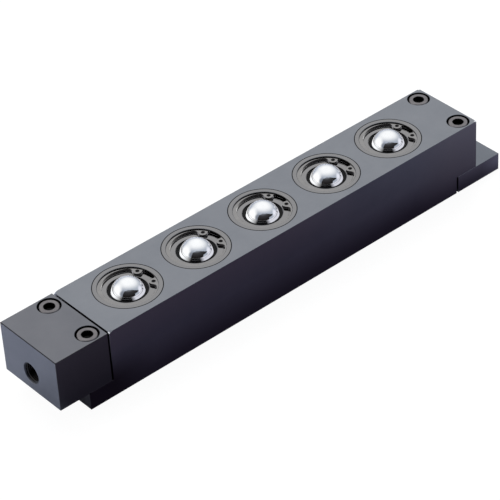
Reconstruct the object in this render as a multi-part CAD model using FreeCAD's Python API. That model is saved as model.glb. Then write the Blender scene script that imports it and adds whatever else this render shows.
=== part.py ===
import FreeCAD, Part
import math
import os
from FreeCAD import Vector

# A rail of ball transfer units for sliding heavy tooling. Five balls stand in a row along a steel bar.
# Each ball rides in a piston that air lifts against a retaining ring in its own cylinder.
# An end block laps over the bar at one end and feeds the air in. A foot laps under the bar at the other.
# Millimetres. The origin is at the middle of the underside, +X runs from the end block to the foot.

# Rail
rail_width = 40.0
rail_height = 36.7
edge_break = 0.1
lap_height = 9.4
step_length = 13.85
notch_length = 13.35
block_gap = 0.95
foot_gap = 1.1
block_length = 29.2
foot_reach = 15.9

# Row of ball units
unit_count = 5
unit_pitch = 40.6
unit_lead_in = 26.75
unit_lead_out = 40.4

# Hand-filed facets on the bar's top corners, along the bar, across it and down it
seam_facet = (2.6, 1.7, 0.9)
tail_facet = (1.2, 1.2, 0.6)
step_facet = (1.0, 1.0, 0.8)

# Socket head screws that pull the laps together
screw_radius = 3.0
screw_tip_inset = 0.4
screw_tip_chamfer = 0.6
screw_thread_fit = 0.02
head_radius = 5.0
head_height = 6.0
head_edge = 0.5
head_recess = 0.3
head_clearance = 0.5
shank_clearance = 0.3
socket_across_flats = 5.0
socket_depth = 3.0
socket_mouth_depth = 0.2
socket_mouth_land = 0.05
screw_inset = 6.4
screw_spacing = 27.4
screw_mouth_chamfer = 0.25
block_socket_turns = (4.0, 16.0)
foot_socket_turns = (-3.0, 12.0)

# Air passages
port_height = 9.6
port_thread_radius = 4.864
port_thread_depth = 9.0
port_drill_radius = 4.283
port_drill_depth = 11.5
port_mouth_radius = 5.5
drill_tip_half_angle = 59.0
gallery_radius = 2.5
riser_radius = 2.0
lap_seal_section = 1.5
lap_seal_land = 0.8
lap_seal_fit = 0.02
plug_radius = 3.5
plug_fit = 0.02
plug_length = 5.0
plug_hex = 3.0
plug_hex_depth = 2.5
plug_recess = 0.3

# Cylinder sleeve
sleeve_wall = 2.25
sleeve_fit = 0.02
sleeve_floor = 3.0
sleeve_edge = 0.2
bore_mouth_chamfer = 0.2
sleeve_seal_section = 1.4
sleeve_seal_height = 5.0

# Retaining ring in the mouth of the sleeve
ring_depth = 0.65
ring_thickness = 1.2
ring_groove_depth = 0.7
ring_groove_fit = 0.05
ring_reach = 1.25
ring_eccentricity = 0.95
ring_hole_radius = 1.0
ring_hole_inset = 1.85
ring_hole_half_angle = 26.9
ring_lug_radius = 2.15
ring_lug_flare = 36.0
ring_lug_fillet = 2.0
ring_half_gap = 3.2
ring_turns = (2.8, 8.1, 7.6, 5.1, -1.5)

# Load ball and its bed of small balls
ball_radius = 7.9375
support_radius = 1.5875
rolling_clearance = 0.03
support_ring_step = 20.0
support_ring_count = 4

# Piston
piston_travel = 4.5
piston_rim = 1.6
piston_clearance = 0.04
piston_stop_gap = 0.05
piston_floor = 2.6
piston_edge = 0.5
ball_sink = 2.24
piston_seal_section = 2.0
piston_seal_clearance = 0.05
seal_side_room = 0.3
piston_seal_height = 4.0

# Cap pressed into the piston, with the dark ring that keeps the ball in
opening_gap = 1.6625
opening_round = 0.35
retainer_flange = 1.2
retainer_flange_reach = 1.0
cap_wall = 1.8
cap_thickness = 2.2
cap_fit = 0.02
retainer_fit = 0.05
retainer_sink = 0.95
retainer_ball_clearance = 0.05

# Places along the rail
bar_length = unit_lead_in + (unit_count - 1) * unit_pitch + unit_lead_out
overall_length = block_length + block_gap + bar_length + foot_reach
block_left = -overall_length / 2
block_right = block_left + block_length
bar_left = block_right + block_gap
bar_right = bar_left + bar_length
step_left = bar_left - step_length
notch_left = bar_right - notch_length
foot_left = notch_left + foot_gap
foot_right = bar_right + foot_reach
half_width = rail_width / 2
gallery_height = lap_height / 2
block_screw_x = block_right - screw_inset
foot_screw_x = bar_right - screw_inset

# Radii of one unit, from the ball outwards
opening_radius = ball_radius + opening_gap
retainer_flange_radius = opening_radius + retainer_flange_reach
cap_radius = retainer_flange_radius + cap_wall
bore_radius = cap_radius + piston_rim
sleeve_radius = bore_radius + sleeve_wall

# Heights inside one unit
ring_underside = rail_height - ring_depth - ring_thickness
piston_top = ring_underside - piston_stop_gap
ball_height = piston_top - ball_sink
seat_radius = ball_radius + 2 * support_radius + 2 * rolling_clearance
piston_bottom = ball_height - seat_radius - piston_floor
sleeve_floor_top = piston_bottom - piston_travel - piston_stop_gap
sleeve_bottom = sleeve_floor_top - sleeve_floor


def save(shape, name):
    """Write one node to its own file, as one solid or as a group of separate solids."""
    shape.exportStep("parts/" + name + ".step")


def cylinder_up(radius, bottom, top, x=0.0, y=0.0):
    """Upright cylinder between two heights."""
    return Part.makeCylinder(radius, top - bottom, Vector(x, y, bottom))


def cylinder_along(radius, start, end, z):
    """Cylinder along the rail, on its middle line, between two places."""
    return Part.makeCylinder(radius, end - start, Vector(start, 0, z), Vector(1, 0, 0))


def turned(outline):
    """Solid turned about the upright axis from a closed outline of radius and height."""
    points = [Vector(radius, 0, height) for radius, height in outline]
    face = Part.Face(Part.makePolygon(points + points[:1]))
    return face.revolve(Vector(0, 0, 0), Vector(0, 0, 1), 360)


def seal_ring(middle_radius, section, z):
    """Round cord ring lying level."""
    return Part.makeTorus(middle_radius, section / 2, Vector(0, 0, z))


def hexagon_up(across_flats, bottom, top, turn):
    """Upright hexagonal prism at the origin, turned by an angle in degrees."""
    corner = across_flats / 2 / math.cos(math.radians(30))
    angles = [math.radians(turn + 60 * side) for side in range(6)]
    points = [Vector(corner * math.cos(a), corner * math.sin(a), bottom) for a in angles]
    return Part.Face(Part.makePolygon(points + points[:1])).extrude(Vector(0, 0, top - bottom))


def side_outline(points):
    """Prism of the rail's full width from an outline seen from its long side."""
    corners = [Vector(x, -half_width, z) for x, z in points]
    face = Part.Face(Part.makePolygon(corners + corners[:1]))
    return face.extrude(Vector(0, rail_width, 0))


def with_broken_edges(prism, inner_corners=()):
    """Break every sharp edge of a prism. Inner corners, given as places along and up, stay sharp."""
    def is_inner(edge):
        middle = edge.CenterOfMass
        return any(abs(middle.x - x) < edge_break and abs(middle.z - z) < edge_break
                   and abs(middle.y) < half_width / 2 for x, z in inner_corners)
    return prism.makeChamfer(edge_break, [edge for edge in prism.Edges if not is_inner(edge)])


def corner_facet(x, side, z, sizes, direction):
    """Wedge that files off one top corner. Direction points from the corner into the bar."""
    along, across, down = sizes
    y = side * half_width
    corner = Vector(x, y, z)
    tips = (Vector(x + direction * along, y, z), Vector(x, y - side * across, z), Vector(x, y, z - down))
    triangles = ((corner, tips[0], tips[1]), (corner, tips[1], tips[2]), (corner, tips[2], tips[0]), tips)
    faces = [Part.Face(Part.makePolygon([*triangle, triangle[0]])) for triangle in triangles]
    wedge = Part.Solid(Part.Shell(faces))
    return wedge if wedge.Volume > 0 else wedge.reversed()


def screw_rows(x):
    """The two screw places across the rail."""
    return [(x, side * screw_spacing / 2) for side in (1, -1)]


def screw_pocket(x, y, bottom):
    """Counterbore, mouth chamfer and clearance hole for one screw, down to a height."""
    seat = rail_height - head_recess - head_height
    pocket_radius = head_radius + head_clearance
    pocket = cylinder_up(pocket_radius, seat, rail_height, x, y)
    pocket = pocket.fuse(cylinder_up(screw_radius + shank_clearance, bottom, rail_height, x, y))
    mouth = Part.makeCone(pocket_radius, pocket_radius + screw_mouth_chamfer, screw_mouth_chamfer,
                          Vector(x, y, rail_height - screw_mouth_chamfer))
    return pocket.fuse(mouth)


def tapped_hole(x, y, top):
    """Screw hole through a lap, up to a height."""
    return cylinder_up(screw_radius + screw_thread_fit, 0, top, x, y)


def socket_screw(x, y, turn):
    """Socket head screw with its head sunk below the top of the rail."""
    top = rail_height - head_recess
    seat = top - head_height
    body = turned([
        (0, screw_tip_inset),
        (screw_radius - screw_tip_chamfer, screw_tip_inset),
        (screw_radius, screw_tip_inset + screw_tip_chamfer),
        (screw_radius, seat),
        (head_radius, seat),
        (head_radius, top - head_edge),
        (head_radius - head_edge, top),
        (0, top),
    ])
    inscribed = socket_across_flats / 2
    socket = hexagon_up(socket_across_flats, top - socket_depth, top, turn)
    tip_height = inscribed / math.tan(math.radians(drill_tip_half_angle))
    tip_cone = Part.makeCone(0, inscribed, tip_height, Vector(0, 0, top - socket_depth - tip_height))
    mouth_radius = inscribed / math.cos(math.radians(30)) + socket_mouth_land
    mouth_bottom = Vector(0, 0, top - socket_mouth_depth)
    mouth = Part.makeCone(inscribed, mouth_radius, socket_mouth_depth, mouth_bottom)
    screw = body.cut([socket, tip_cone, mouth])
    screw.translate(Vector(x, y, 0))
    return screw


def screw_pair(x, turns):
    """Two like screws as one group."""
    return Part.makeCompound([socket_screw(sx, sy, turn) for (sx, sy), turn in zip(screw_rows(x), turns)])


def unit_places():
    """Places of the ball units along the rail."""
    return [bar_left + unit_lead_in + index * unit_pitch for index in range(unit_count)]


def rail_body():
    """Main bar: a step at one end, a notch at the other, a blind bore for each unit and the air gallery."""
    bar = side_outline([
        (step_left, 0),
        (notch_left, 0),
        (notch_left, lap_height),
        (bar_right, lap_height),
        (bar_right, rail_height),
        (bar_left, rail_height),
        (bar_left, lap_height),
        (step_left, lap_height),
    ])
    bar = with_broken_edges(bar, ((notch_left, lap_height), (bar_left, lap_height)))
    cuts = []
    for side in (1, -1):
        cuts.append(corner_facet(bar_left, side, rail_height, seam_facet, 1))
        cuts.append(corner_facet(bar_right, side, rail_height, tail_facet, -1))
        cuts.append(corner_facet(step_left, side, lap_height, step_facet, 1))
    for x in unit_places():
        cuts.append(cylinder_up(sleeve_radius, sleeve_bottom, rail_height, x))
        cuts.append(Part.makeCone(sleeve_radius, sleeve_radius + sleeve_edge, sleeve_edge,
                                  Vector(x, 0, rail_height - sleeve_edge)))
        cuts.append(cylinder_up(riser_radius, gallery_height, sleeve_bottom, x))
    cuts.append(cylinder_along(gallery_radius, block_screw_x, notch_left, gallery_height))
    plug_end = notch_left - plug_recess - plug_length
    cuts.append(cylinder_along(plug_radius, plug_end, notch_left, gallery_height))
    cuts.append(cylinder_up(gallery_radius, gallery_height, lap_height, block_screw_x))
    cuts += [tapped_hole(x, y, lap_height) for x, y in screw_rows(block_screw_x)]
    cuts += [screw_pocket(x, y, lap_height) for x, y in screw_rows(foot_screw_x)]
    return bar.cut(cuts)


def lap_seal_radius():
    """Middle radius of the cord ring round the air passage in the lap."""
    return gallery_radius + lap_seal_land + lap_seal_section / 2


def end_block():
    """Block with the threaded air port, lapped over the bar's step and screwed down to it."""
    block = with_broken_edges(side_outline([
        (block_left, lap_height),
        (block_right, lap_height),
        (block_right, rail_height),
        (block_left, rail_height),
    ]))
    port_z = lap_height + port_height
    port_mouth = Vector(block_left, 0, port_z)
    mouth_depth = port_mouth_radius - port_thread_radius
    drill_end = block_left + port_drill_depth
    tip_length = port_drill_radius / math.tan(math.radians(drill_tip_half_angle))
    along = Vector(1, 0, 0)
    groove_outer = lap_seal_radius() + lap_seal_section / 2
    groove_inner = lap_seal_radius() - lap_seal_section / 2
    groove_top = lap_height + lap_seal_section
    groove = cylinder_up(groove_outer, lap_height, groove_top, block_screw_x)
    groove = groove.cut(cylinder_up(groove_inner, lap_height, groove_top, block_screw_x))
    cuts = [
        Part.makeCone(port_mouth_radius, port_thread_radius, mouth_depth, port_mouth, along),
        cylinder_along(port_thread_radius, block_left, block_left + port_thread_depth, port_z),
        cylinder_along(port_drill_radius, block_left, drill_end, port_z),
        Part.makeCone(port_drill_radius, 0, tip_length, Vector(drill_end, 0, port_z), along),
        cylinder_along(gallery_radius, drill_end, block_screw_x, port_z),
        cylinder_up(gallery_radius, lap_height, port_z, block_screw_x),
        groove,
    ]
    cuts += [screw_pocket(x, y, lap_height) for x, y in screw_rows(block_screw_x)]
    return block.cut(cuts)


def end_foot():
    """Plate lapped under the bar's notch and running out past its end."""
    foot = with_broken_edges(side_outline([
        (foot_left, 0),
        (foot_right, 0),
        (foot_right, lap_height),
        (foot_left, lap_height),
    ]))
    return foot.cut([tapped_hole(x, y, lap_height) for x, y in screw_rows(foot_screw_x)])


def lap_seal():
    """Cord ring that seals the air passage between the block and the step."""
    section = lap_seal_section - 2 * lap_seal_fit
    ring = seal_ring(lap_seal_radius(), section, lap_height + lap_seal_section / 2)
    ring.translate(Vector(block_screw_x, 0, 0))
    return ring


def gallery_plug():
    """Grub screw that closes the drilled end of the gallery, sunk below the notch wall."""
    radius = plug_radius - plug_fit
    outer = notch_left - plug_recess
    plug = cylinder_along(radius, outer - plug_length, outer, gallery_height)
    socket = hexagon_up(plug_hex, 0, plug_hex_depth, 0)
    socket.rotate(Vector(0, 0, 0), Vector(0, 1, 0), 90)
    socket.translate(Vector(outer - plug_hex_depth, 0, gallery_height))
    return plug.cut(socket)


def cylinder_sleeve():
    """Cup that lines one bore of the bar, with the ring groove in its mouth and an air hole in its floor."""
    outer = sleeve_radius - sleeve_fit
    groove_top = rail_height - ring_depth + ring_groove_fit
    groove_bottom = ring_underside - ring_groove_fit
    groove_radius = bore_radius + ring_groove_depth
    seal_z = sleeve_bottom + sleeve_seal_height
    seal_half = sleeve_seal_section / 2 + sleeve_fit
    seal_floor = outer - sleeve_seal_section
    return turned([
        (riser_radius, sleeve_bottom),
        (outer - sleeve_edge, sleeve_bottom),
        (outer, sleeve_bottom + sleeve_edge),
        (outer, seal_z - seal_half),
        (seal_floor, seal_z - seal_half),
        (seal_floor, seal_z + seal_half),
        (outer, seal_z + seal_half),
        (outer, rail_height - sleeve_edge),
        (outer - sleeve_edge, rail_height),
        (bore_radius + bore_mouth_chamfer, rail_height),
        (bore_radius, rail_height - bore_mouth_chamfer),
        (bore_radius, groove_top),
        (groove_radius, groove_top),
        (groove_radius, groove_bottom),
        (bore_radius, groove_bottom),
        (bore_radius, sleeve_floor_top),
        (riser_radius, sleeve_floor_top),
    ])


def sleeve_seal():
    """Cord ring in the sleeve's outer groove."""
    middle = sleeve_radius - sleeve_fit - sleeve_seal_section / 2
    return seal_ring(middle, sleeve_seal_section - sleeve_fit, sleeve_bottom + sleeve_seal_height)


def lug_root(side, hole_circle, reach):
    """Prism that joins a lug to its ring, with a flank that flares out on the side away from the gap."""
    flare = math.radians(ring_lug_flare)
    start_x = hole_circle - ring_lug_radius * math.sin(flare)
    start_y = ring_lug_radius * math.cos(flare)
    points = [
        Vector(hole_circle, -side * ring_lug_radius, ring_underside),
        Vector(reach, -side * ring_lug_radius, ring_underside),
        Vector(reach, side * (start_y + (reach - start_x) * math.tan(flare)), ring_underside),
        Vector(start_x, side * start_y, ring_underside),
    ]
    root = Part.Face(Part.makePolygon(points + points[:1])).extrude(Vector(0, 0, ring_thickness))
    root.rotate(Vector(0, 0, 0), Vector(0, 0, 1), side * ring_hole_half_angle)
    return root


def retaining_ring(turn):
    """Internal snap ring: an eccentric crescent with two drilled lugs, set round to its own angle."""
    outer_radius = bore_radius + ring_groove_depth - ring_groove_fit
    hole_circle = bore_radius - ring_hole_inset
    inner_radius = bore_radius - ring_reach
    ring_top = ring_underside + ring_thickness
    disc = cylinder_up(outer_radius, ring_underside, ring_top)
    ring = disc.cut(cylinder_up(inner_radius, ring_underside, ring_top, ring_eccentricity))
    holes = []
    for side in (1, -1):
        angle = math.radians(side * ring_hole_half_angle)
        x = hole_circle * math.cos(angle)
        y = hole_circle * math.sin(angle)
        lug = cylinder_up(ring_lug_radius, ring_underside, ring_top, x, y)
        root = lug_root(side, hole_circle, outer_radius)
        ring = ring.fuse(lug).fuse(root.common(disc))
        holes.append(cylinder_up(ring_hole_radius, ring_underside, ring_top, x, y))
    gap_corner = Vector(0, -ring_half_gap, ring_underside)
    gap = Part.makeBox(outer_radius, 2 * ring_half_gap, ring_thickness, gap_corner)
    ring = ring.cut(holes + [gap]).removeSplitter()

    def is_root_corner(edge):
        """Whether an upright edge is where a lug's flank meets the crescent, beyond the lug's hole."""
        place = edge.Vertexes[0].Point
        upright = edge.BoundBox.ZLength > ring_thickness / 2
        off_crescent = abs(math.hypot(place.x - ring_eccentricity, place.y) - inner_radius)
        return upright and off_crescent < ring_groove_fit and abs(place.y) > abs(y)
    ring = ring.makeFillet(ring_lug_fillet, [edge for edge in ring.Edges if is_root_corner(edge)])
    ring.rotate(Vector(0, 0, 0), Vector(0, 0, 1), turn)
    return ring


def piston_cup():
    """Piston with a round seat for the bed of balls, a shoulder for the cap and a seal groove."""
    outer = bore_radius - piston_clearance
    cap_seat = piston_top - cap_thickness
    seal_z = piston_bottom + piston_seal_height
    seal_half = piston_seal_section / 2 + seal_side_room
    seal_floor = bore_radius - 2 * piston_seal_clearance - piston_seal_section
    blank = turned([
        (0, piston_bottom),
        (outer - piston_edge, piston_bottom),
        (outer, piston_bottom + piston_edge),
        (outer, seal_z - seal_half),
        (seal_floor, seal_z - seal_half),
        (seal_floor, seal_z + seal_half),
        (outer, seal_z + seal_half),
        (outer, piston_top),
        (cap_radius, piston_top),
        (cap_radius, cap_seat),
        (0, cap_seat),
    ])
    seat = Part.makeSphere(seat_radius, Vector(0, 0, ball_height))
    return blank.cut([seat, cylinder_up(seat_radius, ball_height, piston_top)])


def piston_cap():
    """Ring pressed into the piston. Its opening shows the ball and its recess clamps the retainer."""
    outer = cap_radius - cap_fit
    underside = piston_top - cap_thickness
    recess_top = underside + retainer_flange
    recess_radius = retainer_flange_radius + retainer_fit
    cap = turned([
        (recess_radius, underside),
        (outer, underside),
        (outer, piston_top),
        (opening_radius, piston_top),
        (opening_radius, recess_top),
        (recess_radius, recess_top),
    ])
    mouth = [edge for edge in cap.Edges if abs(edge.Length - 2 * math.pi * opening_radius) < opening_round
             and edge.BoundBox.ZMin > piston_top - opening_round]
    return cap.makeFillet(opening_round, mouth)


def ball_retainer():
    """Dark ring clamped under the cap. Its lip closes over the ball's equator and wipes it clean."""
    underside = piston_top - cap_thickness
    flange_top = underside + retainer_flange
    neck = opening_radius - retainer_fit
    lip = piston_top - retainer_sink
    blank = turned([
        (0, underside),
        (retainer_flange_radius, underside),
        (retainer_flange_radius, flange_top),
        (neck, flange_top),
        (neck, lip),
        (0, lip),
    ])
    return blank.cut(Part.makeSphere(ball_radius + retainer_ball_clearance, Vector(0, 0, ball_height)))


def piston_seal():
    """Cord ring in the piston's groove, close to the bore."""
    middle = bore_radius - piston_seal_clearance - piston_seal_section / 2
    return seal_ring(middle, piston_seal_section, piston_bottom + piston_seal_height)


def support_balls():
    """Bed of small balls under the load ball: one at the bottom and level rings round it."""
    bed_radius = ball_radius + rolling_clearance + support_radius
    pitch_radius = support_radius + rolling_clearance
    balls = []
    for ring in range(support_ring_count):
        tilt = math.radians(ring * support_ring_step)
        ring_radius = bed_radius * math.sin(tilt)
        count = 1 if ring == 0 else int(math.pi / math.asin(pitch_radius / ring_radius))
        for index in range(count):
            turn = 2 * math.pi * index / count
            place = Vector(ring_radius * math.cos(turn), ring_radius * math.sin(turn),
                           ball_height - bed_radius * math.cos(tilt))
            balls.append(Part.makeSphere(support_radius, place))
    return Part.makeCompound(balls)


def load_ball():
    """The ball that carries the load."""
    return Part.makeSphere(ball_radius, Vector(0, 0, ball_height))


os.makedirs("parts", exist_ok=True)

save(rail_body(), "rail_body")
save(end_block(), "end_block")
save(end_foot(), "end_foot")
save(screw_pair(block_screw_x, block_socket_turns), "end_block_screws")
save(screw_pair(foot_screw_x, foot_socket_turns), "end_foot_screws")
save(lap_seal(), "lap_seal")
save(gallery_plug(), "gallery_plug")

unit_pieces = {
    "cylinder_sleeve": cylinder_sleeve(),
    "sleeve_seal": sleeve_seal(),
    "piston_cup": piston_cup(),
    "piston_cap": piston_cap(),
    "piston_seal": piston_seal(),
    "ball_retainer": ball_retainer(),
    "support_balls": support_balls(),
    "load_ball": load_ball(),
}
for number, place in enumerate(unit_places(), start=1):
    pieces = dict(unit_pieces)
    pieces["retaining_ring"] = retaining_ring(ring_turns[(number - 1) % len(ring_turns)])
    for piece_name, piece in pieces.items():
        placed = piece.copy()
        placed.translate(Vector(place, 0, 0))
        save(placed, piece_name + "_" + str(number))
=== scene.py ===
import logging
import math
from collections.abc import Callable
from dataclasses import dataclass, field
from enum import Enum

import bpy
import numpy as np
from mathutils import Matrix, Vector


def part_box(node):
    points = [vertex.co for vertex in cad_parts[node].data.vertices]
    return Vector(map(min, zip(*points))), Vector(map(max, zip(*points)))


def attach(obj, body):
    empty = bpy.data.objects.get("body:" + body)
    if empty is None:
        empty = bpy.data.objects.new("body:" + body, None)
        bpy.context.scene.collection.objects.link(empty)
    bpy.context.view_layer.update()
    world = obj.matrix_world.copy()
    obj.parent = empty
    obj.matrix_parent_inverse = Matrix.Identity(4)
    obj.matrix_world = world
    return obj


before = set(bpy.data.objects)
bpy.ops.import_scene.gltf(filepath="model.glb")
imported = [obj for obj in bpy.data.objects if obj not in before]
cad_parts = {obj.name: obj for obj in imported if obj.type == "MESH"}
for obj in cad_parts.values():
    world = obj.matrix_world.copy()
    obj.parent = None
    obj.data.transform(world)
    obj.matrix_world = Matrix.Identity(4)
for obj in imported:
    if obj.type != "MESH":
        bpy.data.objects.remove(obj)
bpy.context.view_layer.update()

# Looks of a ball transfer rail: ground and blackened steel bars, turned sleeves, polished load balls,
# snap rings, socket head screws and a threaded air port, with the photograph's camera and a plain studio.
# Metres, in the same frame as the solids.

log = logging.getLogger("ball_rail")

Socket = bpy.types.NodeSocket
Colour = tuple[float, float, float]
Given = Socket | float | tuple[float, ...]

MM = 0.001

# Shares of the cloud noise at which a finish starts and ends its change from its plain to its pale colour.
CLOUD_RANGE = (0.32, 0.68)
# How much of the wear on edges is broken up, and how fine the noise is that breaks it.
WEAR_BREAKUP = 0.6
WEAR_NOISE_SCALE = 900.0
PORT_HEIGHT = 19.0 * MM


class Lay(Enum):
    """How the tool marks of a finish run."""

    ALONG = "along the rail"
    ROUND = "round each ball unit"
    CLOUDY = "no direction"


class Measure(Enum):
    """What a zone's limits are counted in."""

    ALONG = "place along the rail"
    ACROSS = "place across the rail"
    FROM_MIDDLE = "distance from the middle of the rail's width"
    UP = "height"
    FROM_UNIT = "distance from the nearest ball unit's axis"
    FROM_SCREW = "distance from the nearest screw's axis"
    FROM_PORT = "distance from the air port's axis"
    FACING_UP = "how far the surface faces up"


class Bench:
    """Adds nodes to one node tree and links them."""

    def __init__(self, tree: bpy.types.NodeTree) -> None:
        """Keep the tree that the nodes go into.

        Args:
            tree: the material's or group's node tree.
        """
        self.tree = tree

    def add(self, kind: str, values: dict[str | int, Given] | None = None, **settings: object) -> bpy.types.Node:
        """Add one node.

        Args:
            kind: the node's type name in Blender.
            values: socket name or number to a value, or to a socket that feeds it.
            settings: properties of the node itself.

        Returns:
            The new node.
        """
        node = self.tree.nodes.new(kind)
        for name, setting in settings.items():
            setattr(node, name, setting)
        for key, value in (values or {}).items():
            self.feed(node.inputs[key], value)
        return node

    def feed(self, target: Socket, value: Given) -> None:
        """Link a socket to the target, or set the target's own value.

        Args:
            target: the input socket.
            value: another socket, or a plain value.
        """
        if isinstance(value, bpy.types.NodeSocket):
            self.tree.links.new(value, target)
        else:
            target.default_value = value

    def sum(self, operation: str, *terms: Given, clamp: bool = False) -> Socket:
        """Add a Math node.

        Args:
            operation: the Math node's operation.
            terms: numbers or sockets.
            clamp: keep the result between 0 and 1.

        Returns:
            The result socket.
        """
        node = self.add("ShaderNodeMath", dict(enumerate(terms)), operation=operation, use_clamp=clamp)
        return node.outputs[0]

    def blend(self, share: Given, first: Given, second: Given) -> Socket:
        """Mix two colours.

        Args:
            share: how much of the second colour shows.
            first: the colour at a share of 0.
            second: the colour at a share of 1.

        Returns:
            The mixed colour's socket.
        """
        node = self.add("ShaderNodeMix", data_type="RGBA")
        self.feed(node.inputs["Factor"], share)
        self.feed(node.inputs[6], solid(first))
        self.feed(node.inputs[7], solid(second))
        return node.outputs[2]

    def ramp(self, value: Given, low: float, high: float) -> Socket:
        """Stretch a value so that low gives 0 and high gives 1, clamped between."""
        node = self.add("ShaderNodeMapRange", {"Value": value, "From Min": low, "From Max": high}, clamp=True)
        return node.outputs[0]


def solid(colour: Given) -> Given:
    """A colour with full alpha, or the same socket if it is one already."""
    return (*colour, 1.0) if isinstance(colour, tuple) and len(colour) == 3 else colour


class Groups:
    """Shader node groups that several finishes share."""

    @staticmethod
    def start(name: str, inputs: dict[str, str],
              outputs: dict[str, str]) -> tuple[bpy.types.NodeTree, Bench, bpy.types.Node, bpy.types.Node]:
        """Make an empty group with its sockets.

        Args:
            name: the group's name.
            inputs: socket name to its kind, such as Float, Vector or Color.
            outputs: the same for the results.

        Returns:
            The group tree, its bench, its input node and its output node.
        """
        tree = bpy.data.node_groups.new(name, "ShaderNodeTree")
        for socket, kind in inputs.items():
            tree.interface.new_socket(socket, in_out="INPUT", socket_type="NodeSocket" + kind)
        for socket, kind in outputs.items():
            tree.interface.new_socket(socket, in_out="OUTPUT", socket_type="NodeSocket" + kind)
        bench = Bench(tree)
        return tree, bench, bench.add("NodeGroupInput"), bench.add("NodeGroupOutput")

    @staticmethod
    def edge_wear() -> bpy.types.NodeTree:
        """Mask of worn edges: where the rounded normal leaves the face's own, broken up by noise."""
        tree, bench, given, result = Groups.start(
            "edge wear", {"Radius": "Float", "Reach": "Float", "Breakup": "Float"},
            {"Mask": "Float", "Normal": "Vector"})
        rounded = bench.add("ShaderNodeBevel", {"Radius": given.outputs["Radius"]}, samples=6)
        plain = bench.add("ShaderNodeNewGeometry")
        across = bench.add("ShaderNodeVectorMath", {0: rounded.outputs[0], 1: plain.outputs["Normal"]},
                           operation="DOT_PRODUCT")
        bend = bench.sum("SUBTRACT", 1.0, across.outputs["Value"])
        place = bench.add("ShaderNodeTexCoord").outputs["Object"]
        noise = bench.add("ShaderNodeTexNoise", {"Vector": place, "Scale": WEAR_NOISE_SCALE, "Detail": 3.0})
        broken = bench.sum("MULTIPLY_ADD", noise.outputs["Fac"], given.outputs["Breakup"],
                           bench.sum("SUBTRACT", 1.0, given.outputs["Breakup"]))
        mask = bench.sum("MULTIPLY", bench.sum("MULTIPLY", bend, given.outputs["Reach"], clamp=True), broken,
                         clamp=True)
        bench.feed(result.inputs["Mask"], mask)
        bench.feed(result.inputs["Normal"], rounded.outputs[0])
        return tree

    @staticmethod
    def unit_place() -> bpy.types.NodeTree:
        """Place counted from the nearest ball unit's axis: x less the nearest whole number of pitches."""
        tree, bench, given, result = Groups.start(
            "unit place", {"First": "Float", "Pitch": "Float", "Last": "Float"},
            {"Vector": "Vector", "Radius": "Float"})
        place = bench.add("ShaderNodeTexCoord").outputs["Object"]
        split = bench.add("ShaderNodeSeparateXYZ", {0: place})
        away = bench.sum("SUBTRACT", split.outputs["X"], given.outputs["First"])
        nearest = bench.sum("ROUND", bench.sum("DIVIDE", away, given.outputs["Pitch"]))
        kept = bench.sum("MINIMUM", bench.sum("MAXIMUM", nearest, 0.0), given.outputs["Last"])
        folded = bench.sum("SUBTRACT", away, bench.sum("MULTIPLY", kept, given.outputs["Pitch"]))
        centred = bench.add("ShaderNodeCombineXYZ",
                            {"X": folded, "Y": split.outputs["Y"], "Z": split.outputs["Z"]})
        level = bench.add("ShaderNodeCombineXYZ", {"X": folded, "Y": split.outputs["Y"]})
        radius = bench.add("ShaderNodeVectorMath", {0: level.outputs[0]}, operation="LENGTH")
        bench.feed(result.inputs["Vector"], centred.outputs[0])
        bench.feed(result.inputs["Radius"], radius.outputs["Value"])
        return tree

    @staticmethod
    def screw_place() -> bpy.types.NodeTree:
        """Distance from the nearest screw's axis: the place folded about the middle of the four screws."""
        tree, bench, given, result = Groups.start(
            "screw place", {"Middle": "Float", "Half Length": "Float", "Half Width": "Float"},
            {"Radius": "Float"})
        place = bench.add("ShaderNodeTexCoord").outputs["Object"]
        split = bench.add("ShaderNodeSeparateXYZ", {0: place})
        along = bench.sum("ABSOLUTE", bench.sum("SUBTRACT", split.outputs["X"], given.outputs["Middle"]))
        across = bench.sum("ABSOLUTE", split.outputs["Y"])
        level = bench.add("ShaderNodeCombineXYZ", {
            "X": bench.sum("SUBTRACT", along, given.outputs["Half Length"]),
            "Y": bench.sum("SUBTRACT", across, given.outputs["Half Width"])})
        radius = bench.add("ShaderNodeVectorMath", {0: level.outputs[0]}, operation="LENGTH")
        bench.feed(result.inputs["Radius"], radius.outputs["Value"])
        return tree

    @staticmethod
    def painted_recess_glow() -> bpy.types.NodeTree:
        """Colour of the painted glow in a unit's recess, by the side of the unit that a place is on.

        The side is the cosine between the place, seen from the unit's axis, and a level direction.
        """
        tree, bench, given, result = Groups.start("painted recess glow", {"Vector": "Vector"}, {"Color": "Color"})
        level = bench.add("ShaderNodeVectorMath", {0: given.outputs["Vector"], 1: (1.0, 1.0, 0.0)},
                          operation="MULTIPLY")
        outward = bench.add("ShaderNodeVectorMath", {0: level.outputs[0]}, operation="NORMALIZE")

        def side(toward: Colour) -> Socket:
            """Cosine between the outward direction and a given one."""
            found = bench.add("ShaderNodeVectorMath", {0: outward.outputs[0], 1: toward},
                              operation="DOT_PRODUCT")
            return found.outputs["Value"]

        plain = bench.blend(bench.ramp(side((0.94, 0.342, 0.0)), -0.70, -0.45), (0.0, 0.0, 0.0),
                            (0.78, 0.78, 0.84))
        lit = bench.blend(bench.ramp(side((-0.77, 0.64, 0.0)), 0.42, 0.88), plain, (1.15, 1.15, 1.14))
        bench.feed(result.inputs["Color"], lit)
        return tree

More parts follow.
